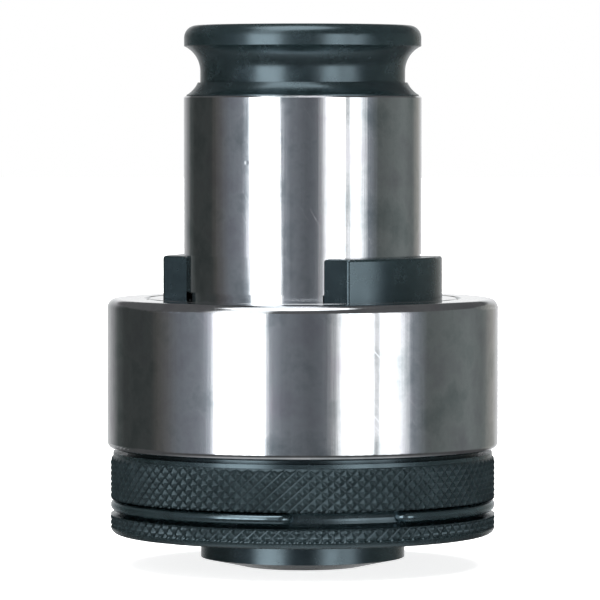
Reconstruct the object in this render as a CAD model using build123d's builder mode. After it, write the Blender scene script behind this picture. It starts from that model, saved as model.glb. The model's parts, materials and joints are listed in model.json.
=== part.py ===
from build123d import *
import math
import os

# Quick-change tapping adapter with an overload clutch, standing on its nose.
# Millimetres, +Z up along the spindle axis, origin at the centre of the nose's bottom face.

# ---- driving dimensions ----
shank_diameter = 31.0
head_diameter = 51.0
nut_diameter = 50.2
nose_diameter = 26.6
tap_shank_diameter = 12.0
tap_square = 9.0

total_height = 70.4
shank_top = 61.2
head_top = 34.9
head_bottom = 15.4

# ---- fits ----
running = 0.07
thread_clearance = 0.05
face_gap = 0.05
ball_pocket_clearance = 0.04
ball_seat_clearance = 0.02
ball_hole_clearance = 0.03

# ---- radii worked out from the driving dimensions ----
shank_radius = shank_diameter / 2
head_radius = head_diameter / 2
nut_radius = nut_diameter / 2
nose_radius = nose_diameter / 2
tap_radius = tap_shank_diameter / 2

# ---- clutch ----
flange_radius = 20.2
flange_gap = 0.3
flange_step_radius = 22.4
flange_bottom = 28.0
lip_bottom = 32.0
lip_ball_diameter = 2.0
lip_ball_count = 54
lip_circle_radius = 21.45
housing_bore_radius = 22.7
thread_radius = 22.9
thread_top = 20.2
head_top_round = 1.2
head_bottom_round = 0.8
flange_chamfer = 0.25
anti_rotation_pin_radius = 1.25
anti_rotation_pin_count = 3
anti_rotation_pin_top = flange_bottom - 0.2
anti_rotation_pin_bottom = thread_top + 0.6

clutch_ball_diameter = 5.0
clutch_ball_count = 6
pocket_count = 12
clutch_circle_radius = 18.0
pocket_depth = 0.9
clutch_ball_z = flange_bottom + pocket_depth - clutch_ball_diameter / 2
pressure_top = 26.9
pressure_bottom = 23.3

disc_count = 4
disc_thickness = 0.44
disc_cone = 0.29
disc_pitch = disc_thickness + disc_cone + 0.01
disc_inner_radius = 15.3
disc_outer_radius = 20.6
disc_bottom = pressure_bottom - disc_count * disc_pitch
washer_thickness = 1.0
washer_outer_radius = 22.0
washer_inner_radius = 14.9
washer_top = disc_bottom - face_gap
nut_top = washer_top - washer_thickness - face_gap

# ---- spindle ----
spline_count = 6
spline_width = 4.0
spline_radius = 14.8
spline_bottom = 21.2
spindle_shoulder = 27.2
journal_radius = 11.5
seat_shoulder = 36.6
spindle_top_radius = 9.8
spindle_top = 69.8
spindle_top_chamfer = 0.2
square_bottom = 56.6
square_pilot_radius = 4.0
nose_chamfer_width = 5.3
nose_chamfer_height = 1.15
tap_mouth_chamfer = 0.5
shank_bore_radius = 13.5
bush_height = 8.3
spindle_washer_radius = 14.6

# ---- tap lock and release collar ----
locking_ball_diameter = 5.0
locking_ball_count = 3
locking_ball_z = 53.6
locking_ball_circle = tap_radius + locking_ball_diameter / 2
ball_mouth_radius = 2.3
ball_mouth_depth = 7.2
cone_slope = 0.25
cone_top = 57.6
neck_radius = 13.35
neck_bottom = 50.6
groove_arc_radius = 3.57
groove_centre_z = 64.45
bead_radius = 15.45
bead_round = 1.6
bead_inner_chamfer = 0.3
web_bottom = 66.1
web_top = 68.2
collar_recess_radius = 12.5
ring_slot_bottom = 68.25
ring_slot_height = 1.2
ring_slot_radius = 9.0
snap_ring_radius = 11.4
snap_ring_height = 1.1
snap_ring_gap = 5.0
spring_wire = 1.4
spring_mean_radius = 11.65
spring_turns = 5.25
seat_thickness = 0.8
seat_radius = 13.1
shank_top_chamfer = 0.2
end_ring_land = 0.25
end_ring_edge = 0.15
end_ring_seat_radius = 14.4
end_ring_seat_depth = 5.0

# ---- drive lugs ----
lug_angles = (-35.4, 144.6)
lug_width = 21.4
lug_height = 5.5
lug_outer_radius = 18.2
lug_corner_round = 0.5
lug_top_round = 0.35
shank_foot_relief = 0.2
shank_foot_height = 5.7
shank_undercut_radius = 14.8
shank_undercut_height = 0.9
lug_pin_diameter = 2.0
lug_pin_length = 6.0
lug_pin_spread = 23.0
lug_pin_circle = 0.5 * (shank_radius - shank_foot_relief + lug_outer_radius)

# ---- adjusting nut and lock wire ----
nut_bottom = 4.25
nut_bottom_round = 1.0
knurl_top = 13.9
knurl_chamfer = 0.5
nut_rim_radius = 24.75
nut_rim_top = head_bottom - 0.5
nut_relief_radius = 14.3
nut_relief_bottom = 11.2
wire_diameter = 1.5
wire_z = 8.0
wire_groove_bottom = 6.8
wire_groove_top = 8.9
wire_groove_round = 0.5
wire_gap = 0.03
wire_groove_radius = nut_radius - wire_diameter - face_gap
wire_start = -58.6
wire_sweep = 324.0
wire_tail = 2.6
wire_bend_radius = 1.0
seal_wire = 1.5
seal_z = 6.0
seal_groove_half = 0.8

os.makedirs("parts", exist_ok=True)


def turned(*points):
    """A closed outline of (radius, height) points on the XZ plane, to be revolved about Z."""
    with BuildSketch(Plane.XZ) as outline:
        with BuildLine():
            Polyline(*points, close=True)
        make_face()
    return outline.sketch


def round_edge(piece, radius, height):
    """The circular edge of a piece that has this radius and lies at this height."""
    circles = piece.edges().filter_by(GeomType.CIRCLE)
    return circles.filter_by(
        lambda edge: abs(edge.radius - radius) < 0.01 and abs(edge.center().Z - height) < 0.01
    )


def around(count, radius, height, start=0.0):
    """Places spread evenly on a circle about Z, each with its X axis pointing outwards."""
    turn = 360.0 / count
    angles = [start + k * turn for k in range(count)]
    return [
        Location(
            (radius * math.cos(math.radians(a)), radius * math.sin(math.radians(a)), height),
            (0, 0, a),
        )
        for a in angles
    ]


def facing_out(angle, distance, height):
    """A plane at this distance from Z that faces outwards along this angle."""
    turn = math.radians(angle)
    outwards = Vector(math.cos(turn), math.sin(turn), 0)
    return Plane(origin=outwards * distance + Vector(0, 0, height), z_dir=outwards)


def save(piece, name):
    """Labels the finished piece and writes its STEP file."""
    piece.part.label = name
    export_step(piece.part, f"parts/{name}.step")


lug_pin_places = [
    place
    for angle in lug_angles
    for side in (-lug_pin_spread, lug_pin_spread)
    for place in around(1, lug_pin_circle, head_top, angle + side)
]

# Shank body: the ground tube, with a grinding undercut at its foot, and the flange that closes the clutch from
# above. The step below the flange runs under the housing's lip, and twelve ball pockets lie in the lower face.
flange_step_top = lip_bottom - lip_ball_diameter - 2 * face_gap
with BuildPart() as shank_body:
    revolve(
        turned(
            (shank_bore_radius, flange_bottom),
            (flange_step_radius, flange_bottom),
            (flange_step_radius, flange_step_top),
            (flange_radius, flange_step_top),
            (flange_radius, head_top),
            (shank_undercut_radius, head_top),
            (shank_undercut_radius, head_top + shank_undercut_height),
            (shank_radius - shank_foot_relief, head_top + shank_undercut_height),
            (shank_radius - shank_foot_relief, head_top + shank_foot_height),
            (shank_radius, head_top + shank_foot_height),
            (shank_radius, shank_top),
            (end_ring_seat_radius, shank_top),
            (end_ring_seat_radius, shank_top - end_ring_seat_depth),
            (shank_bore_radius, shank_top - end_ring_seat_depth),
        ),
        axis=Axis.Z,
    )
    chamfer(round_edge(shank_body, flange_radius, head_top), flange_chamfer)
    chamfer(round_edge(shank_body, shank_radius, shank_top), shank_top_chamfer)
    with Locations(*around(pocket_count, clutch_circle_radius, clutch_ball_z)):
        Sphere(clutch_ball_diameter / 2 + ball_pocket_clearance, mode=Mode.SUBTRACT)
    with Locations(*lug_pin_places):
        Cylinder(lug_pin_diameter / 2, lug_pin_length, mode=Mode.SUBTRACT)
save(shank_body, "shank_body")

# Drive lugs: two blocks with parallel flanks, set against the shank's foot and standing on the flange.
for lug_name, lug_angle in zip(("drive_lug_front", "drive_lug_rear"), lug_angles):
    with BuildPart() as drive_lug:
        with BuildSketch(Plane.XY.offset(head_top)):
            Circle(lug_outer_radius)
            Circle(shank_radius - shank_foot_relief, mode=Mode.SUBTRACT)
            with Locations(Location((0, 0, 0), (0, 0, lug_angle))):
                Rectangle(
                    lug_outer_radius + 1,
                    lug_width,
                    align=(Align.MIN, Align.CENTER),
                    mode=Mode.INTERSECT,
                )
        extrude(amount=lug_height)
        outer_corners = drive_lug.edges().filter_by(Axis.Z).sort_by(lambda edge: -edge.center().length)[0:2]
        fillet(outer_corners, lug_corner_round)
        fillet(drive_lug.faces().sort_by(Axis.Z)[-1].edges(), lug_top_round)
        with Locations(*lug_pin_places):
            Cylinder(lug_pin_diameter / 2, lug_pin_length, mode=Mode.SUBTRACT)
    save(drive_lug, lug_name)

# Lug pins: half their length in the flange, half in the lug.
with BuildPart() as lug_dowel_pins:
    with Locations(*lug_pin_places):
        Cylinder(lug_pin_diameter / 2, lug_pin_length)
save(lug_dowel_pins, "lug_dowel_pins")

# End ring: the lower flank of the retention groove, pressed into the shank's top end.
end_ring_bore = neck_radius + running
end_ring_lip = end_ring_bore + end_ring_land
groove_arc_centre = neck_radius + groove_arc_radius


def groove_angle(radius):
    """The angle up or down the groove's round flank, from its waist, at which it has this radius."""
    return math.acos((groove_arc_centre - radius) / groove_arc_radius)


def groove_point(angle):
    """The (radius, height) point of the groove's round flank at this angle from its waist."""
    return (
        groove_arc_centre - groove_arc_radius * math.cos(angle),
        groove_centre_z + groove_arc_radius * math.sin(angle),
    )


def groove_flank(first, last):
    """The groove's flank between two angles, as one arc."""
    return ThreePointArc(groove_point(first), groove_point(0.5 * (first + last)), groove_point(last))


flare_top_angle = -groove_angle(end_ring_lip)
flare_foot_angle = math.asin((shank_top + end_ring_edge - groove_centre_z) / groove_arc_radius)
flare_top = groove_point(flare_top_angle)[1]
flare_foot = groove_point(flare_foot_angle)
with BuildPart() as end_ring:
    with BuildSketch(Plane.XZ):
        with BuildLine():
            Polyline(
                (end_ring_lip, flare_top),
                (end_ring_bore, flare_top),
                (end_ring_bore, shank_top - end_ring_seat_depth),
                (end_ring_seat_radius, shank_top - end_ring_seat_depth),
                (end_ring_seat_radius, shank_top),
                (flare_foot[0], shank_top),
                flare_foot,
            )
            groove_flank(flare_foot_angle, flare_top_angle)
        make_face()
    revolve(axis=Axis.Z)
save(end_ring, "end_ring")

# Spindle bush: bronze sleeve in the shank's bore.
with BuildPart() as spindle_bush:
    with BuildSketch(Plane.XY.offset(flange_bottom)):
        Circle(shank_bore_radius)
        Circle(journal_radius + running, mode=Mode.SUBTRACT)
    extrude(amount=bush_height)
save(spindle_bush, "spindle_bush")

# Clutch housing: the ground head ring. Its lip holds the flange down, and its lower bore is threaded for
# the nut.
with BuildPart() as clutch_housing:
    revolve(
        turned(
            (thread_radius, head_bottom),
            (head_radius, head_bottom),
            (head_radius, head_top),
            (flange_radius + flange_gap, head_top),
            (flange_radius + flange_gap, lip_bottom),
            (housing_bore_radius, lip_bottom),
            (housing_bore_radius, thread_top),
            (thread_radius, thread_top),
        ),
        axis=Axis.Z,
    )
    fillet(round_edge(clutch_housing, head_radius, head_top), head_top_round)
    fillet(round_edge(clutch_housing, head_radius, head_bottom), head_bottom_round)
    chamfer(round_edge(clutch_housing, flange_radius + flange_gap, head_top), flange_chamfer)
    with Locations(*around(anti_rotation_pin_count, housing_bore_radius, head_bottom)):
        Cylinder(
            anti_rotation_pin_radius,
            anti_rotation_pin_top - head_bottom,
            align=(Align.CENTER, Align.CENTER, Align.MIN),
            mode=Mode.SUBTRACT,
        )
save(clutch_housing, "clutch_housing")

# Anti-rotation pins: half in the housing's bore, half in slots in the pressure ring.
with BuildPart() as anti_rotation_pins:
    with Locations(*around(anti_rotation_pin_count, housing_bore_radius, anti_rotation_pin_bottom)):
        Cylinder(
            anti_rotation_pin_radius,
            anti_rotation_pin_top - anti_rotation_pin_bottom,
            align=(Align.CENTER, Align.CENTER, Align.MIN),
        )
save(anti_rotation_pins, "anti_rotation_pins")

# Lip bearing: a full row of small balls between the flange's step and the housing's lip.
lip_ball_z = lip_bottom - lip_ball_diameter / 2 - face_gap
with BuildPart() as lip_bearing_balls:
    with Locations(*around(lip_ball_count, lip_circle_radius, lip_ball_z)):
        Sphere(lip_ball_diameter / 2)
save(lip_bearing_balls, "lip_bearing_balls")

# Tap spindle: nose, splines for the pressure ring, journal, and the upper end with the tap's bore, the
# square that turns the tap and the holes for the locking balls.
with BuildPart() as tap_spindle:
    revolve(
        turned(
            (tap_radius, 0),
            (nose_radius - nose_chamfer_width, 0),
            (nose_radius, nose_chamfer_height),
            (nose_radius, spindle_shoulder),
            (journal_radius, spindle_shoulder),
            (journal_radius, seat_shoulder),
            (spindle_top_radius, seat_shoulder),
            (spindle_top_radius, ring_slot_bottom),
            (ring_slot_radius, ring_slot_bottom),
            (ring_slot_radius, ring_slot_bottom + ring_slot_height),
            (spindle_top_radius, ring_slot_bottom + ring_slot_height),
            (spindle_top_radius, spindle_top),
            (square_pilot_radius, spindle_top),
            (square_pilot_radius, square_bottom),
            (tap_radius, square_bottom),
        ),
        axis=Axis.Z,
    )
    chamfer(round_edge(tap_spindle, tap_radius, 0), tap_mouth_chamfer)
    chamfer(round_edge(tap_spindle, spindle_top_radius, spindle_top), spindle_top_chamfer)
    with BuildSketch(Plane.XY.offset(spline_bottom)):
        with Locations(*around(spline_count, journal_radius, 0)):
            Rectangle(spline_radius - journal_radius, spline_width, align=(Align.MIN, Align.CENTER))
    extrude(amount=spindle_shoulder - spline_bottom)
    with BuildSketch(Plane.XY.offset(square_bottom)):
        Rectangle(tap_square, tap_square)
    extrude(amount=spindle_top - square_bottom, mode=Mode.SUBTRACT)
    for k in range(locking_ball_count):
        hole_angle = k * 360.0 / locking_ball_count
        with BuildSketch(facing_out(hole_angle, 0, locking_ball_z)):
            Circle(ball_mouth_radius)
        extrude(amount=journal_radius, mode=Mode.SUBTRACT)
        with BuildSketch(facing_out(hole_angle, ball_mouth_depth, locking_ball_z)):
            Circle(locking_ball_diameter / 2 + ball_hole_clearance)
        extrude(amount=journal_radius, mode=Mode.SUBTRACT)
save(tap_spindle, "tap_spindle")

# Thrust washer of the spindle: between its shoulder and the bush, takes the tap's upward push.
with BuildPart() as spindle_thrust_washer:
    with BuildSketch(Plane.XY.offset(spindle_shoulder + face_gap)):
        Circle(spindle_washer_radius)
        Circle(journal_radius + running, mode=Mode.SUBTRACT)
    extrude(amount=flange_bottom - spindle_shoulder - 2 * face_gap)
save(spindle_thrust_washer, "spindle_thrust_washer")

# Pressure ring: slides on the spindle's splines and carries the six clutch balls in its upper face.
ball_cup_radius = clutch_ball_diameter / 2 + ball_seat_clearance
with BuildPart() as pressure_ring:
    with BuildSketch(Plane.XY.offset(pressure_bottom)):
        Circle(housing_bore_radius - running)
        Circle(nose_radius + running, mode=Mode.SUBTRACT)
        with Locations(*around(spline_count, journal_radius, 0)):
            Rectangle(
                spline_radius - journal_radius + running,
                spline_width + 2 * running,
                align=(Align.MIN, Align.CENTER),
                mode=Mode.SUBTRACT,
            )
        with Locations(*around(anti_rotation_pin_count, housing_bore_radius, 0)):
            Circle(anti_rotation_pin_radius + running, mode=Mode.SUBTRACT)
    extrude(amount=pressure_top - pressure_bottom)
    with Locations(*around(clutch_ball_count, clutch_circle_radius, clutch_ball_z)):
        Sphere(ball_cup_radius, mode=Mode.SUBTRACT)
        Cylinder(
            ball_cup_radius,
            pressure_top - clutch_ball_z,
            align=(Align.CENTER, Align.CENTER, Align.MIN),
            mode=Mode.SUBTRACT,
        )
save(pressure_ring, "pressure_ring")

# Clutch balls: seated in the pressure ring, with their crowns in every second pocket of the flange.
with BuildPart() as clutch_balls:
    with Locations(*around(clutch_ball_count, clutch_circle_radius, clutch_ball_z)):
        Sphere(clutch_ball_diameter / 2)
save(clutch_balls, "clutch_balls")

# Disc springs: coned discs stacked in turn edge to edge, so that each adds its own travel.
with BuildPart() as disc_springs:
    for k in range(disc_count):
        low = disc_bottom + k * disc_pitch
        inner_rise = disc_cone if k % 2 == 0 else 0.0
        outer_rise = disc_cone - inner_rise
        revolve(
            turned(
                (disc_inner_radius, low + inner_rise),
                (disc_outer_radius, low + outer_rise),
                (disc_outer_radius, low + outer_rise + disc_thickness),
                (disc_inner_radius, low + inner_rise + disc_thickness),
            ),
            axis=Axis.Z,
        )
save(disc_springs, "disc_springs")

# Thrust washer: hardened ring between the nut's boss and the disc springs.
with BuildPart() as thrust_washer:
    with BuildSketch(Plane.XY.offset(washer_top - washer_thickness)):
        Circle(washer_outer_radius)
        Circle(washer_inner_radius, mode=Mode.SUBTRACT)
    extrude(amount=washer_thickness)
save(thrust_washer, "thrust_washer")

# Adjusting nut: knurled rim, groove for the lock wire, threaded boss that loads the disc springs.
nut_bore_radius = nose_radius + running
nut_boss_radius = thread_radius - thread_clearance
seal_groove_radius = nose_radius + seal_wire + face_gap
with BuildPart() as adjusting_nut:
    revolve(
        turned(
            (nut_bore_radius, nut_bottom),
            (nut_radius, nut_bottom),
            (nut_radius, wire_groove_bottom),
            (wire_groove_radius, wire_groove_bottom),
            (wire_groove_radius, wire_groove_top),
            (nut_radius, wire_groove_top),
            (nut_radius, knurl_top),
            (nut_rim_radius, knurl_top + knurl_chamfer),
            (nut_rim_radius, nut_rim_top),
            (nut_boss_radius, nut_rim_top),
            (nut_boss_radius, nut_top),
            (nut_relief_radius, nut_top),
            (nut_relief_radius, nut_relief_bottom),
            (nut_bore_radius, nut_relief_bottom),
            (nut_bore_radius, seal_z + seal_groove_half),
            (seal_groove_radius, seal_z + seal_groove_half),
            (seal_groove_radius, seal_z - seal_groove_half),
            (nut_bore_radius, seal_z - seal_groove_half),
        ),
        axis=Axis.Z,
    )
    fillet(round_edge(adjusting_nut, nut_radius, nut_bottom), nut_bottom_round)
    fillet(round_edge(adjusting_nut, wire_groove_radius, wire_groove_bottom), wire_groove_round)
    fillet(round_edge(adjusting_nut, wire_groove_radius, wire_groove_top), wire_groove_round)
    for end_angle in (wire_start, wire_start + wire_sweep):
        with BuildSketch(facing_out(end_angle, wire_groove_radius - wire_tail, wire_z)):
            Circle(wire_diameter / 2 + face_gap)
        extrude(amount=wire_tail + wire_groove_round, mode=Mode.SUBTRACT)
save(adjusting_nut, "adjusting_nut")

# Lock wire: an open ring of round wire in the nut's groove, with both ends bent inwards into the nut.
wire_ring_radius = wire_groove_radius + wire_diameter / 2 + wire_gap
wire_bend_circle = wire_ring_radius - wire_bend_radius
wire_end_radius = wire_groove_radius - wire_tail + 0.3


def wire_point(radius, degrees):
    """A point on the wire's plane at this radius and angle."""
    turn = math.radians(degrees)
    return (radius * math.cos(turn), radius * math.sin(turn), wire_z)


bend_turn = math.degrees(wire_bend_radius / wire_bend_circle)
wire_first = wire_start + bend_turn
wire_last = wire_start + wire_sweep - bend_turn
with BuildPart() as lock_wire:
    with BuildLine() as wire_path:
        tail_in = Line(
            wire_point(wire_end_radius, wire_start),
            wire_point(wire_bend_circle, wire_start),
        )
        ring_arc = ThreePointArc(
            wire_point(wire_ring_radius, wire_first),
            wire_point(wire_ring_radius, 0.5 * (wire_first + wire_last)),
            wire_point(wire_ring_radius, wire_last),
        )
        tail_out = Line(
            wire_point(wire_bend_circle, wire_start + wire_sweep),
            wire_point(wire_end_radius, wire_start + wire_sweep),
        )
        TangentArc(tail_in @ 1, ring_arc @ 0, tangent=tail_in % 1)
        TangentArc(ring_arc @ 1, tail_out @ 0, tangent=ring_arc % 1)
    with BuildSketch(Plane(origin=tail_in @ 0, z_dir=tail_in % 0)):
        Circle(wire_diameter / 2)
    sweep(path=wire_path.wires()[0])
save(lock_wire, "lock_wire")

# Nose seal: a rubber ring in the nut's bore that keeps cutting oil and chips out of the clutch.
with BuildPart() as nose_seal:
    with BuildSketch(Plane.XZ):
        with Locations((nose_radius + wire_gap + seal_wire / 2, seal_z)):
            Circle(seal_wire / 2)
    revolve(axis=Axis.Z)
save(nose_seal, "nose_seal")

# Spring seat: washer on the spindle's upper shoulder.
with BuildPart() as spring_seat:
    with BuildSketch(Plane.XY.offset(seat_shoulder)):
        Circle(seat_radius)
        Circle(spindle_top_radius + running, mode=Mode.SUBTRACT)
    extrude(amount=seat_thickness)
save(spring_seat, "spring_seat")

# Release spring: open coil between the seat and the collar's neck.
spring_low = seat_shoulder + seat_thickness + spring_wire / 2 + wire_gap
spring_high = neck_bottom - spring_wire / 2 - wire_gap
spring_pitch = (spring_high - spring_low) / spring_turns
with BuildPart() as release_spring:
    with BuildLine():
        coil = Helix(
            pitch=spring_pitch,
            height=spring_high - spring_low,
            radius=spring_mean_radius,
            center=(0, 0, spring_low),
        )
    with BuildSketch(Plane(origin=coil @ 0, z_dir=coil % 0)):
        Circle(spring_wire / 2)
    sweep(path=coil, is_frenet=True)
save(release_spring, "release_spring")

# Release collar: bead, upper flank of the retention groove, and a neck whose inner cone holds the locking
# balls in. Pressed down, the cone's wider part lets the balls move out.
ball_outer = locking_ball_circle + locking_ball_diameter / 2 / math.cos(math.atan(cone_slope))


def cone_radius(height):
    """The neck's inner radius at this height, just clear of the locking balls."""
    return ball_outer + ball_hole_clearance + cone_slope * (height - locking_ball_z)


bead_foot_angle = groove_angle(bead_radius)
bead_foot = groove_point(bead_foot_angle)
bead_crown = (bead_radius, total_height - bead_round)
bead_rim = (bead_radius - bead_round, total_height)
bead_middle = (
    bead_radius - bead_round + bead_round * math.sqrt(0.5),
    total_height - bead_round + bead_round * math.sqrt(0.5),
)
with BuildPart() as release_collar:
    with BuildSketch(Plane.XZ):
        with BuildLine():
            Polyline(
                bead_rim,
                (collar_recess_radius, total_height),
                (collar_recess_radius, web_top),
                (spindle_top_radius + running, web_top),
                (spindle_top_radius + running, web_bottom),
                (cone_radius(cone_top), web_bottom),
                (cone_radius(cone_top), cone_top),
                (cone_radius(neck_bottom), neck_bottom),
                (neck_radius, neck_bottom),
                (neck_radius, groove_centre_z),
            )
            groove_flank(0, bead_foot_angle)
            Line(bead_foot, bead_crown)
            ThreePointArc(bead_crown, bead_middle, bead_rim)
        make_face()
    revolve(axis=Axis.Z)
    chamfer(round_edge(release_collar, collar_recess_radius, total_height), bead_inner_chamfer)
save(release_collar, "release_collar")

# Collar snap ring: open ring in the spindle's top slot, the collar's upper stop.
with BuildPart() as collar_snap_ring:
    with BuildSketch(Plane.XY.offset(ring_slot_bottom + face_gap)):
        Circle(snap_ring_radius)
        Circle(ring_slot_radius + wire_gap, mode=Mode.SUBTRACT)
        with Locations((spindle_top_radius, 0)):
            Rectangle(snap_ring_gap + 1.0, snap_ring_gap, mode=Mode.SUBTRACT)
    extrude(amount=snap_ring_height)
save(collar_snap_ring, "collar_snap_ring")

# Locking balls: one node each, because each slides out along its own radius.
for k, place in enumerate(around(locking_ball_count, locking_ball_circle, locking_ball_z)):
    with BuildPart() as locking_ball:
        with Locations(place):
            Sphere(locking_ball_diameter / 2)
    save(locking_ball, f"locking_ball_{k + 1}")
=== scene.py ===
import json
import math

import bmesh
import bpy
import numpy as np
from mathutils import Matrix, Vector


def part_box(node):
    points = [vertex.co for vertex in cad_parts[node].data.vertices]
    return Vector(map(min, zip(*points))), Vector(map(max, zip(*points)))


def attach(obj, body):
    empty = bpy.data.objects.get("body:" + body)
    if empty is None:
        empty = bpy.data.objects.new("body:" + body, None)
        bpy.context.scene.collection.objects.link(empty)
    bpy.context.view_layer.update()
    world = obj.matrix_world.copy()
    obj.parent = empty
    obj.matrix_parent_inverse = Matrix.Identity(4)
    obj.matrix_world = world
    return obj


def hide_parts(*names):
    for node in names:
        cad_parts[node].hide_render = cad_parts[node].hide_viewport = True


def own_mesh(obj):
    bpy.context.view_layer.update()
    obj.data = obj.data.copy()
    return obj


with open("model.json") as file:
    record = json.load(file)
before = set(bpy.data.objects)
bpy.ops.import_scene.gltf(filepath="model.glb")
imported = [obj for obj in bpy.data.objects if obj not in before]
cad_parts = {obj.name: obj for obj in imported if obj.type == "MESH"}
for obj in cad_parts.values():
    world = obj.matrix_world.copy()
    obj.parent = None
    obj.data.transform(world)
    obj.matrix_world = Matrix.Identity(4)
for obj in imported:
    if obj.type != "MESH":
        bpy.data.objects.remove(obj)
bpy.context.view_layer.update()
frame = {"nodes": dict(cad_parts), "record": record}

# Quick-change tapping adapter: looks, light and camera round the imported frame.
# Lengths are in metres, written as millimetres times MM.
MM = 0.001


# ---------------------------------------------------------------- colour and node helpers

def paint(hex_colour):
    """An sRGB hex colour as linear RGBA: c/12.92 up to 0.04045, above it ((c + 0.055)/1.055)**2.4."""
    channels = [int(hex_colour[i:i + 2], 16) / 255 for i in (1, 3, 5)]
    linear = [c / 12.92 if c <= 0.04045 else ((c + 0.055) / 1.055) ** 2.4 for c in channels]
    return (*linear, 1.0)


def add(tree, kind, settings=None, **inputs):
    """Adds one node. Settings are its attributes; an input takes a value or another node's socket."""
    node = tree.nodes.new("ShaderNode" + kind)
    for name, value in (settings or {}).items():
        setattr(node, name, value)
    for name, value in inputs.items():
        key = int(name[1:]) if name[0] == "i" and name[1:].isdigit() else name.replace("_", " ")
        if isinstance(value, bpy.types.NodeSocket):
            tree.links.new(value, node.inputs[key])
        else:
            node.inputs[key].default_value = value
    return node


def ramp(tree, factor, stops, interpolation="LINEAR"):
    """Adds a colour ramp with these (position, colour) stops and returns its colour."""
    node = add(tree, "ValToRGB", Fac=factor)
    node.color_ramp.interpolation = interpolation
    elements = node.color_ramp.elements
    while len(elements) < len(stops):
        elements.new(1.0)
    for element, (position, colour) in zip(elements, stops):
        element.position = position
        element.color = colour
    return node.outputs["Color"]


def grey(value):
    return (value, value, value, 1.0)


def new_material(name):
    """An empty material with a Principled shader wired to its output."""
    material = bpy.data.materials.new(name)
    material.use_nodes = True
    tree = material.node_tree
    tree.nodes.clear()
    shader = add(tree, "BsdfPrincipled")
    add(tree, "OutputMaterial", Surface=shader.outputs["BSDF"])
    return material, tree, shader


def turned_coordinates(tree, across, along):
    """Cylinder coordinates of the piece: the turn angle times across, and the height times along."""
    place = add(tree, "TexCoord").outputs["Object"]
    parts = add(tree, "SeparateXYZ", Vector=place)
    x, y, z = (parts.outputs[axis] for axis in "XYZ")
    angle = add(tree, "Math", {"operation": "ARCTAN2"}, i0=y, i1=x).outputs[0]
    around = add(tree, "Math", {"operation": "MULTIPLY"}, i0=angle, i1=across).outputs[0]
    height = add(tree, "Math", {"operation": "MULTIPLY"}, i0=z, i1=along).outputs[0]
    return add(tree, "CombineXYZ", X=around, Y=height).outputs[0]


# ---------------------------------------------------------------- materials

def ground_alloy_steel():
    """Case-hardened alloy steel, cylindrically ground: a mirror drawn out by fine lines round the axis."""
    material, tree, shader = new_material("ground_alloy_steel")
    place = add(tree, "TexCoord").outputs["Object"]
    # Grinding lines run round the axis. Real ones are about 0.02 mm apart; these are 0.12 mm, so they show.
    ground = turned_coordinates(tree, 3.0, 1 / (0.12 * MM))
    lines = add(tree, "TexNoise", Vector=ground, Scale=1.0, Detail=2.0)
    # Slow waves left by the wheel, about 1 mm wide round the part, streak the reflections lengthways.
    waves = turned_coordinates(tree, 16.0, 1 / (60 * MM))
    streaks = add(tree, "TexNoise", Vector=waves, Scale=1.0, Detail=5.0)
    # Handling stains and a faint oil film, patches of some 6 mm.
    film = add(tree, "TexNoise", Vector=place, Scale=1 / (6 * MM), Detail=5.0, Roughness=0.6)
    tint = ramp(tree, film.outputs["Fac"], [
        (0.30, paint("#bcc4c8")),
        (0.50, paint("#dfe2e6")),
        (0.72, paint("#cbcad2")),
    ])
    # Small nicks: dents where the part was knocked, a few tenths of a millimetre across.
    nicks = add(tree, "TexVoronoi", {"feature": "F1"}, Vector=place, Scale=1 / (7 * MM), Randomness=1.0)
    dent = add(tree, "MapRange", Value=nicks.outputs["Distance"], i1=0.02, i2=0.05, i3=1.0, i4=0.0)
    # Hairline scratches from handling: slanting, some 9 mm long and 0.25 mm wide. Real ones are finer; these
    # are drawn wide enough to show.
    slant = add(
        tree, "Mapping", {"vector_type": "TEXTURE"}, Vector=turned_coordinates(tree, 22.5 * MM, 1.0),
        Rotation=(0.0, 0.0, 0.7), Scale=(0.25 * MM, 9 * MM, 1.0),
    )
    hairs = add(tree, "TexNoise", Vector=slant.outputs[0], Scale=1.0, Detail=1.0)
    scratch = add(tree, "MapRange", Value=hairs.outputs["Fac"], i1=0.71, i2=0.80, i3=0.0, i4=0.14)
    polish = add(tree, "MapRange", Value=film.outputs["Fac"], i1=0.3, i2=0.7, i3=0.075, i4=0.15)
    roughness = add(tree, "Math", {"operation": "ADD"}, i0=polish.outputs[0], i1=scratch.outputs[0])
    height = add(
        tree, "Math", {"operation": "MULTIPLY_ADD"},
        i0=dent.outputs[0], i1=-3.0, i2=lines.outputs["Fac"],
    )
    fine = add(tree, "Bump", Strength=0.10, Distance=0.02 * MM, Height=height.outputs[0])
    wavy = add(
        tree, "Bump", Strength=0.30, Distance=0.05 * MM,
        Height=streaks.outputs["Fac"], Normal=fine.outputs[0],
    )
    tree.links.new(tint, shader.inputs["Base Color"])
    tree.links.new(roughness.outputs[0], shader.inputs["Roughness"])
    tree.links.new(wavy.outputs[0], shader.inputs["Normal"])
    shader.inputs["Metallic"].default_value = 1.0
    return material


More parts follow.
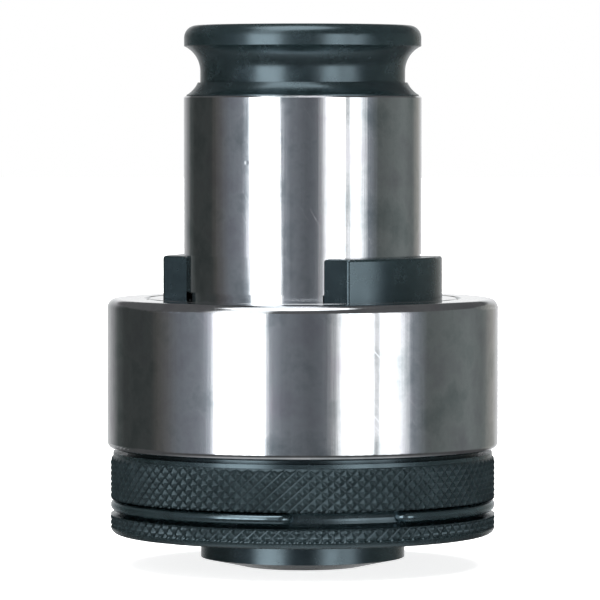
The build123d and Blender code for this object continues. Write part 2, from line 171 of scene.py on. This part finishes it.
def black_oxide_steel(name, smooth, coarse, worn_by=None, ior=2.0):
    """Steel blackened in hot salts and oiled: blue-black and satin. The roughness runs from smooth to coarse
    with the mottle of the oxide. worn_by names the point attribute that says where it is rubbed bright."""
    material, tree, shader = new_material(name)
    place = add(tree, "TexCoord").outputs["Object"]
    mottle = add(tree, "TexNoise", Vector=place, Scale=1 / (2.5 * MM), Detail=6.0, Roughness=0.65)
    base = ramp(tree, mottle.outputs["Fac"], [
        (0.30, paint("#10191b")),
        (0.55, paint("#172123")),
        (0.75, paint("#1f282b")),
    ])
    if worn_by:
        crest = add(tree, "Attribute", {"attribute_name": worn_by}).outputs["Fac"]
        rubbed = add(tree, "MapRange", Value=crest, i1=0.78, i2=1.0, i3=0.0, i4=0.45)
        base = add(
            tree, "Mix", {"data_type": "RGBA"},
            i0=rubbed.outputs[0], i6=base, i7=paint("#3c4a4e"),
        ).outputs[2]
    # Turning marks under the oxide: real feed is 0.1 mm, drawn at 0.25 mm.
    feed = turned_coordinates(tree, 1.5, 1 / (0.25 * MM))
    marks = add(tree, "TexNoise", Vector=feed, Scale=1.0, Detail=3.0)
    roughness = add(tree, "MapRange", Value=mottle.outputs["Fac"], i1=0.3, i2=0.7, i3=smooth, i4=coarse)
    bump = add(tree, "Bump", Strength=0.10, Distance=0.03 * MM, Height=marks.outputs["Fac"])
    tree.links.new(base, shader.inputs["Base Color"])
    tree.links.new(roughness.outputs[0], shader.inputs["Roughness"])
    tree.links.new(bump.outputs[0], shader.inputs["Normal"])
    shader.inputs["IOR"].default_value = ior
    # The oiled oxide reflects a cold blue-green.
    shader.inputs["Specular Tint"].default_value = (0.66, 0.88, 1.0, 1.0)
    return material


def speckled_metal(name, dark, light, rough, grain):
    """A bare metal with a fine grain: two shades mixed by noise, roughness following the same grain."""
    material, tree, shader = new_material(name)
    place = add(tree, "TexCoord").outputs["Object"]
    noise = add(tree, "TexNoise", Vector=place, Scale=1 / grain, Detail=5.0, Roughness=0.6)
    colour = ramp(tree, noise.outputs["Fac"], [(0.3, paint(dark)), (0.7, paint(light))])
    roughness = add(
        tree, "MapRange", Value=noise.outputs["Fac"], i1=0.3, i2=0.7, i3=rough * 0.8, i4=rough * 1.3,
    )
    bump = add(tree, "Bump", Strength=0.08, Distance=0.02 * MM, Height=noise.outputs["Fac"])
    tree.links.new(colour, shader.inputs["Base Color"])
    tree.links.new(roughness.outputs[0], shader.inputs["Roughness"])
    tree.links.new(bump.outputs[0], shader.inputs["Normal"])
    shader.inputs["Metallic"].default_value = 1.0
    return material


def nitrile_rubber():
    """Moulded nitrile rubber: near black, matt, with a fine bloom."""
    material, tree, shader = new_material("moulded_nitrile_rubber")
    place = add(tree, "TexCoord").outputs["Object"]
    bloom = add(tree, "TexNoise", Vector=place, Scale=1 / (0.8 * MM), Detail=4.0)
    colour = ramp(tree, bloom.outputs["Fac"], [(0.35, paint("#101010")), (0.7, paint("#1c1c1d"))])
    roughness = add(tree, "MapRange", Value=bloom.outputs["Fac"], i1=0.3, i2=0.7, i3=0.55, i4=0.75)
    tree.links.new(colour, shader.inputs["Base Color"])
    tree.links.new(roughness.outputs[0], shader.inputs["Roughness"])
    return material


steel = ground_alloy_steel()
oxide = black_oxide_steel("black_oxide_steel", 0.20, 0.30)
worn_oxide = black_oxide_steel("black_oxide_knurled_steel", 0.30, 0.40, worn_by="crest", ior=1.82)
ball_steel = speckled_metal("polished_bearing_steel", "#c8cacc", "#dcdee0", 0.08, 1.5 * MM)
# Oil-tempered spring steel: dull grey-brown scale.
spring_steel = speckled_metal("oil_tempered_spring_steel", "#3c3a38", "#5a5855", 0.42, 0.6 * MM)
# Sintered bronze: warm, with small open pores.
bronze = speckled_metal("sintered_bronze", "#8a6436", "#b98d52", 0.38, 0.4 * MM)
rubber = nitrile_rubber()

finishes = {
    "ground_steel": steel,
    "black_oxide": oxide,
    "hardened_steel": ball_steel,
    "spring_steel": spring_steel,
    "wire_steel": black_oxide_steel("black_oxide_spring_wire", 0.12, 0.18, ior=2.7),
    "bronze": bronze,
    "seal_rubber": rubber,
}
for part in frame["record"]["subparts"]:
    data = frame["nodes"][part["node"]].data
    data.materials.clear()
    data.materials.append(finishes[part["material_slot"]])


# ---------------------------------------------------------------- knurled nut

def knurl_height(turn, height, teeth, lead):
    """Diamond knurl from two crossing sets of V grooves. With u = teeth * turn / (2 pi) and
    v = height / lead, each set rises as t = 2 |frac(u +- v) - 1/2|, and the metal left is the lower of the
    two. The tips are flattened at 0.85, and the result runs from 0 in a groove to 1 on a tip."""
    flat = 0.85
    u = teeth * turn / (2 * np.pi)
    v = height / lead
    left = 2 * np.abs((u + v) % 1.0 - 0.5)
    right = 2 * np.abs((u - v) % 1.0 - 0.5)
    return np.minimum(np.minimum(left, right), flat) / flat


def closed_rings(name, radius, height, turn):
    """A closed surface of revolution on a grid: x = r cos t, y = r sin t, z = h, where r and h are given for
    each ring of the outline and each step t round the axis. Both directions wrap, so there are no ends."""
    rings, steps = radius.shape
    points = np.stack([radius * np.cos(turn), radius * np.sin(turn), height], axis=-1).reshape(-1, 3)
    ring = np.arange(rings)[:, None]
    step = np.arange(steps)[None, :]
    next_ring = (ring + 1) % rings
    next_step = (step + 1) % steps
    faces = np.stack([
        ring * steps + step,
        ring * steps + next_step,
        next_ring * steps + next_step,
        next_ring * steps + step,
    ], axis=-1).reshape(-1, 4)
    mesh = bpy.data.meshes.new(name)
    mesh.from_pydata(points, [], faces)
    mesh.update()
    piece = bpy.data.objects.new(name, mesh)
    bpy.context.scene.collection.objects.link(piece)
    return piece


def span(start, end, pieces):
    """Evenly spaced points on a straight stretch of the outline, without its last point."""
    t = np.linspace(0, 1, pieces + 1)[:-1, None]
    return np.array(start) * (1 - t) + np.array(end) * t


def bend(centre, size, first, last, pieces):
    """Points on a round stretch of the outline, between two angles in degrees."""
    t = np.radians(np.linspace(first, last, pieces + 1))[:, None]
    return np.array(centre) + size * np.hstack([np.cos(t), np.sin(t)])


def knurled_nut():
    """The adjusting nut: its outline goes round counter-clockwise in (radius, height), and where the rim is
    knurled the radius is the smaller of the outline's and rim - depth * (1 - knurl_height)."""
    low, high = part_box("adjusting_nut")
    rim, bottom, top = high.x, low.z, high.z
    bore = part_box("nose_seal")[1].x - 1.46 * MM
    boss = rim - 2.25 * MM
    shoulder = rim - 0.35 * MM
    rim_top = bottom + 10.65 * MM
    knurl_top = bottom + 9.65 * MM
    wire_height = 0.5 * (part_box("lock_wire")[0].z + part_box("lock_wire")[1].z)
    groove_low, groove_high = wire_height - 1.2 * MM, wire_height + 0.9 * MM
    groove = rim - 1.55 * MM
    seal_low, seal_high = bottom + 0.95 * MM, bottom + 2.55 * MM
    seal_depth = bore + 1.48 * MM
    relief, relief_low = bore + 0.93 * MM, bottom + 6.95 * MM
    edge, fillet, groove_lip, bevel = 1.0 * MM, 0.9 * MM, 0.15 * MM, 0.5 * MM
    teeth, lead, depth = 100, 1.42 * MM, 0.34 * MM
    steps_per_tooth = 8
    row = lead / steps_per_tooth
    # The crest given to plain surfaces, low enough that their oxide isn't rubbed.
    plain_crest = 0.4

    def rows(start, end):
        return max(2, round(abs(end - start) / row))

    sections = [
        (span((bore, bottom), (rim - edge, bottom), 3), False),
        (bend((rim - edge, bottom + edge), edge, -90, 0, 8)[:-1], False),
        (span((rim, bottom + edge), (rim, groove_low), rows(bottom + edge, groove_low)), True),
        (span((rim, groove_low), (groove + fillet, groove_low), 2), False),
        (bend((groove + fillet, groove_low + fillet), fillet, -90, -180, 4), False),
        (bend((groove + fillet, groove_high - fillet), fillet, 180, 90, 4), False),
        (span((rim - groove_lip, groove_high), (rim, groove_high), 2), False),
        (span((rim, groove_high), (rim, knurl_top), rows(groove_high, knurl_top)), True),
        (span((rim, knurl_top), (shoulder, knurl_top + bevel), 4), True),
        (span((shoulder, knurl_top + bevel), (shoulder, rim_top), 2), False),
        (span((shoulder, rim_top), (boss, rim_top), 2), False),
        (span((boss, rim_top), (boss, top), 2), False),
        (span((boss, top), (relief, top), 2), False),
        (span((relief, top), (relief, relief_low), 2), False),
        (span((relief, relief_low), (bore, relief_low), 1), False),
        (span((bore, relief_low), (bore, seal_high), 2), False),
        (span((bore, seal_high), (seal_depth, seal_high), 1), False),
        (span((seal_depth, seal_high), (seal_depth, seal_low), 1), False),
        (span((seal_depth, seal_low), (bore, seal_low), 1), False),
        (span((bore, seal_low), (bore, bottom), 1), False),
    ]
    outline = np.vstack([points for points, _ in sections])
    knurled = np.concatenate([np.full(len(points), flag) for points, flag in sections])
    turn = np.arange(teeth * steps_per_tooth) * (2 * np.pi / (teeth * steps_per_tooth))
    radius = np.repeat(outline[:, :1], len(turn), axis=1)
    height = np.repeat(outline[:, 1:], len(turn), axis=1)
    turn = np.repeat(turn[None, :], len(outline), axis=0)
    tips = knurl_height(turn, height, teeth, lead)
    cut = np.minimum(radius, rim - depth * (1 - tips))
    radius = np.where(knurled[:, None], cut, radius)
    piece = closed_rings("knurled_nut", radius, height, turn)
    crest = piece.data.attributes.new("crest", "FLOAT", "POINT")
    crests = np.where(knurled[:, None], tips, plain_crest).astype(np.float32)
    crest.data.foreach_set("value", crests.ravel())
    piece.data.materials.append(worn_oxide)
    piece.data.materials.append(oxide)
    plain = np.repeat(~knurled, len(turn[0])).astype(np.int32)
    piece.data.polygons.foreach_set("material_index", plain)
    return piece


nut = knurled_nut()
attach(nut, "nut")
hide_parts("adjusting_nut")


# ---------------------------------------------------------------- springs as merged copies

def working_spring(node, body):
    """A merged copy of a spring: its doubled points are welded, and it hangs on the body in place of the CAD
    spring, which is hidden."""
    mesh = frame["nodes"][node].data.copy()
    work = bmesh.new()
    work.from_mesh(mesh)
    bmesh.ops.remove_doubles(work, verts=work.verts, dist=0.001 * MM)
    work.to_mesh(mesh)
    work.free()
    piece = bpy.data.objects.new("working_" + node, mesh)
    bpy.context.scene.collection.objects.link(piece)
    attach(piece, body)
    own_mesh(piece)
    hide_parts(node)


working_spring("disc_springs", "washer")
working_spring("release_spring", "driven")


# ---------------------------------------------------------------- floor, light and camera

def pale_floor():
    """A wide, very slightly domed floor that touches the part's foot: z = -fall * (distance / 1 m)**2."""
    half_width, cells, fall = 4.0, 40, 0.2 * MM
    line = np.linspace(-half_width, half_width, cells + 1)
    x, y = np.meshgrid(line, line)
    z = -fall * (x**2 + y**2)
    points = np.stack([x, y, z], axis=-1).reshape(-1, 3)
    row, column = np.meshgrid(np.arange(cells), np.arange(cells), indexing="ij")
    first = row * (cells + 1) + column
    faces = np.stack([first, first + 1, first + cells + 2, first + cells + 1], axis=-1).reshape(-1, 4)
    mesh = bpy.data.meshes.new("floor")
    mesh.from_pydata(points, [], faces)
    floor = bpy.data.objects.new("floor", mesh)
    bpy.context.scene.collection.objects.link(floor)
    material, tree, shader = new_material("backlit_white_card")
    place = add(tree, "TexCoord").outputs["Object"]
    tooth = add(tree, "TexNoise", Vector=place, Scale=40.0, Detail=3.0)
    colour = ramp(tree, tooth.outputs["Fac"], [(0.3, paint("#f4f4f3")), (0.7, paint("#f8f8f8"))])
    tree.links.new(colour, shader.inputs["Base Color"])
    shader.inputs["Roughness"].default_value = 0.9
    shader.inputs["Specular IOR Level"].default_value = 0.2
    # The card is lit from behind, so that almost no shadow is left on it.
    shader.inputs["Emission Color"].default_value = grey(1.0)
    shader.inputs["Emission Strength"].default_value = 0.82
    # Clear from below, so that the underside of the part can be looked at.
    below = add(tree, "NewGeometry").outputs["Backfacing"]
    clear = add(tree, "BsdfTransparent")
    shown = add(tree, "MixShader", i0=below, i1=shader.outputs["BSDF"], i2=clear.outputs["BSDF"])
    tree.links.new(shown.outputs[0], tree.get_output_node("ALL").inputs["Surface"])
    mesh.materials.append(material)
    floor.visible_glossy = False


def studio():
    """A light tent seen by direction: two tall soft boxes in front, a third over the left one, a ceiling
    panel, a white back and dark flags between. Azimuth is 0 towards the camera (-Y) and grows towards +X."""
    world = bpy.data.worlds.new("light_tent")
    world.use_nodes = True
    tree = world.node_tree
    tree.nodes.clear()
    direction = add(tree, "TexCoord").outputs["Generated"]
    parts = add(tree, "SeparateXYZ", Vector=direction)
    x, y, z = (parts.outputs[axis] for axis in "XYZ")
    toward = add(tree, "Math", {"operation": "MULTIPLY"}, i0=y, i1=-1.0).outputs[0]
    azimuth = add(tree, "Math", {"operation": "ARCTAN2"}, i0=x, i1=toward).outputs[0]
    share = add(tree, "MapRange", Value=azimuth, i1=-math.pi, i2=math.pi, i3=0.0, i4=1.0).outputs[0]

    def stop(degrees, level, tone=(1.0, 1.0, 1.0)):
        """A ramp stop at this azimuth."""
        return (degrees / 360 + 0.5, (level * tone[0], level * tone[1], level * tone[2], 1.0))

    cool, green, warm = (0.90, 0.97, 1.06), (0.93, 1.02, 0.98), (1.03, 1.0, 0.92)
    walls = ramp(tree, share, [
        stop(-180, 1.00), stop(-165, 0.62), stop(-150, 0.30), stop(-140, 0.10, green),
        stop(-130, 0.05, green), stop(-100, 0.05, green), stop(-94, 0.08, warm), stop(-86, 0.12),
        stop(-76, 0.19, cool), stop(-61, 0.26, cool), stop(-54, 0.50, cool), stop(-52, 3.2),
        stop(-23, 3.2), stop(-21, 0.40, cool), stop(-12, 0.22, cool), stop(4, 0.13, cool),
        stop(14, 0.16, cool), stop(19, 0.50), stop(27, 2.6), stop(41.2, 2.6), stop(42.4, 0.40),
        stop(44.6, 0.40), stop(45.8, 1.9), stop(56, 1.9), stop(66, 0.30, cool), stop(78, 0.12, green),
        stop(115, 0.20, green), stop(132, 0.16, green), stop(150, 0.36, warm), stop(165, 0.70),
        stop(180, 1.00),
    ])
    # The tall soft boxes and the flags stand between about 17 degrees below and 18 above the horizon.
    elevation = add(tree, "Math", {"operation": "ARCSINE"}, i0=z).outputs[0]
    height = add(
        tree, "MapRange", Value=elevation, i1=-math.pi / 2, i2=math.pi / 2, i3=0.0, i4=1.0,
    ).outputs[0]

    def level(degrees, value):
        """A ramp stop at this elevation."""
        return (degrees / 180 + 0.5, grey(value))

    band = ramp(tree, height, [level(-20, 0.0), level(-13, 1.0), level(15, 1.0), level(20, 0.0)])
    beyond = ramp(tree, height, [
        level(-90, 0.60), level(-62, 0.45), level(-50, 0.16), level(-36, 0.07), level(-20, 0.08),
        level(16, 0.10), level(60, 0.08), level(90, 0.20),
    ])
    surround = add(tree, "Mix", {"data_type": "RGBA"}, i0=band, i6=beyond, i7=walls).outputs[2]
    # The third soft box hangs from about 18 to 58 degrees up, and lights the knurl and the wire.
    over_box = ramp(tree, share, [stop(-62, 0.10), stop(-52, 1.6), stop(-26, 1.6), stop(-18, 0.10)])
    upper = ramp(tree, height, [level(15, 0.0), level(20, 1.0), level(54, 1.0), level(62, 0.0)])
    surround = add(tree, "Mix", {"data_type": "RGBA"}, i0=upper, i6=surround, i7=over_box).outputs[2]
    # The ceiling panel: a round about a direction up and to the front left, full to 20 degrees, gone by 26.
    panel_way = Vector((-0.10, -0.20, 0.97)).normalized()
    panel_edge, panel_core = math.cos(math.radians(26)), math.cos(math.radians(20))
    nearness = add(tree, "VectorMath", {"operation": "DOT_PRODUCT"}, i0=direction, i1=panel_way)
    panel = add(
        tree, "MapRange", Value=nearness.outputs["Value"], i1=panel_edge, i2=panel_core, i3=0.0, i4=2.4,
    ).outputs[0]
    tent = add(
        tree, "Mix", {"data_type": "RGBA", "blend_type": "ADD"}, i0=1.0, i6=surround, i7=panel,
    ).outputs[2]
    seen = add(tree, "LightPath").outputs["Is Camera Ray"]
    shown = add(tree, "Mix", {"data_type": "RGBA"}, i0=seen, i6=tent, i7=grey(1.0)).outputs[2]
    back = add(tree, "Background", Color=shown, Strength=1.0)
    add(tree, "OutputWorld", Surface=back.outputs[0])
    bpy.context.scene.world = world


def sun(name, strength, spread):
    """A broad sun from straight above, which lights the floor evenly. It is left out of reflections."""
    data = bpy.data.lights.new(name, "SUN")
    data.energy = strength
    data.angle = math.radians(spread)
    lamp = bpy.data.objects.new(name, data)
    lamp.visible_glossy = False
    bpy.context.scene.collection.objects.link(lamp)


def camera():
    """A long lens at the height of the upper shank, dipped slightly towards the middle of the part."""
    data = bpy.data.cameras.new("camera")
    data.sensor_width = 36.0
    distance = 600 * MM
    # At this focal length the picture is 78.3 mm wide where the part's axis stands.
    data.lens = 0.460 * distance / MM
    data.clip_start, data.clip_end = 0.01, 20.0
    eye = Vector((-0.35 * MM, -distance, 58.6 * MM))
    target = Vector((-0.35 * MM, 0, 34.62 * MM))
    view = bpy.data.objects.new("camera", data)
    view.location = eye
    view.rotation_euler = (target - eye).to_track_quat("-Z", "Y").to_euler()
    bpy.context.scene.collection.objects.link(view)
    bpy.context.scene.camera = view


pale_floor()
studio()
sun("overhead", 4.2, 60.0)
camera()
bpy.context.scene.view_settings.view_transform = "Standard"
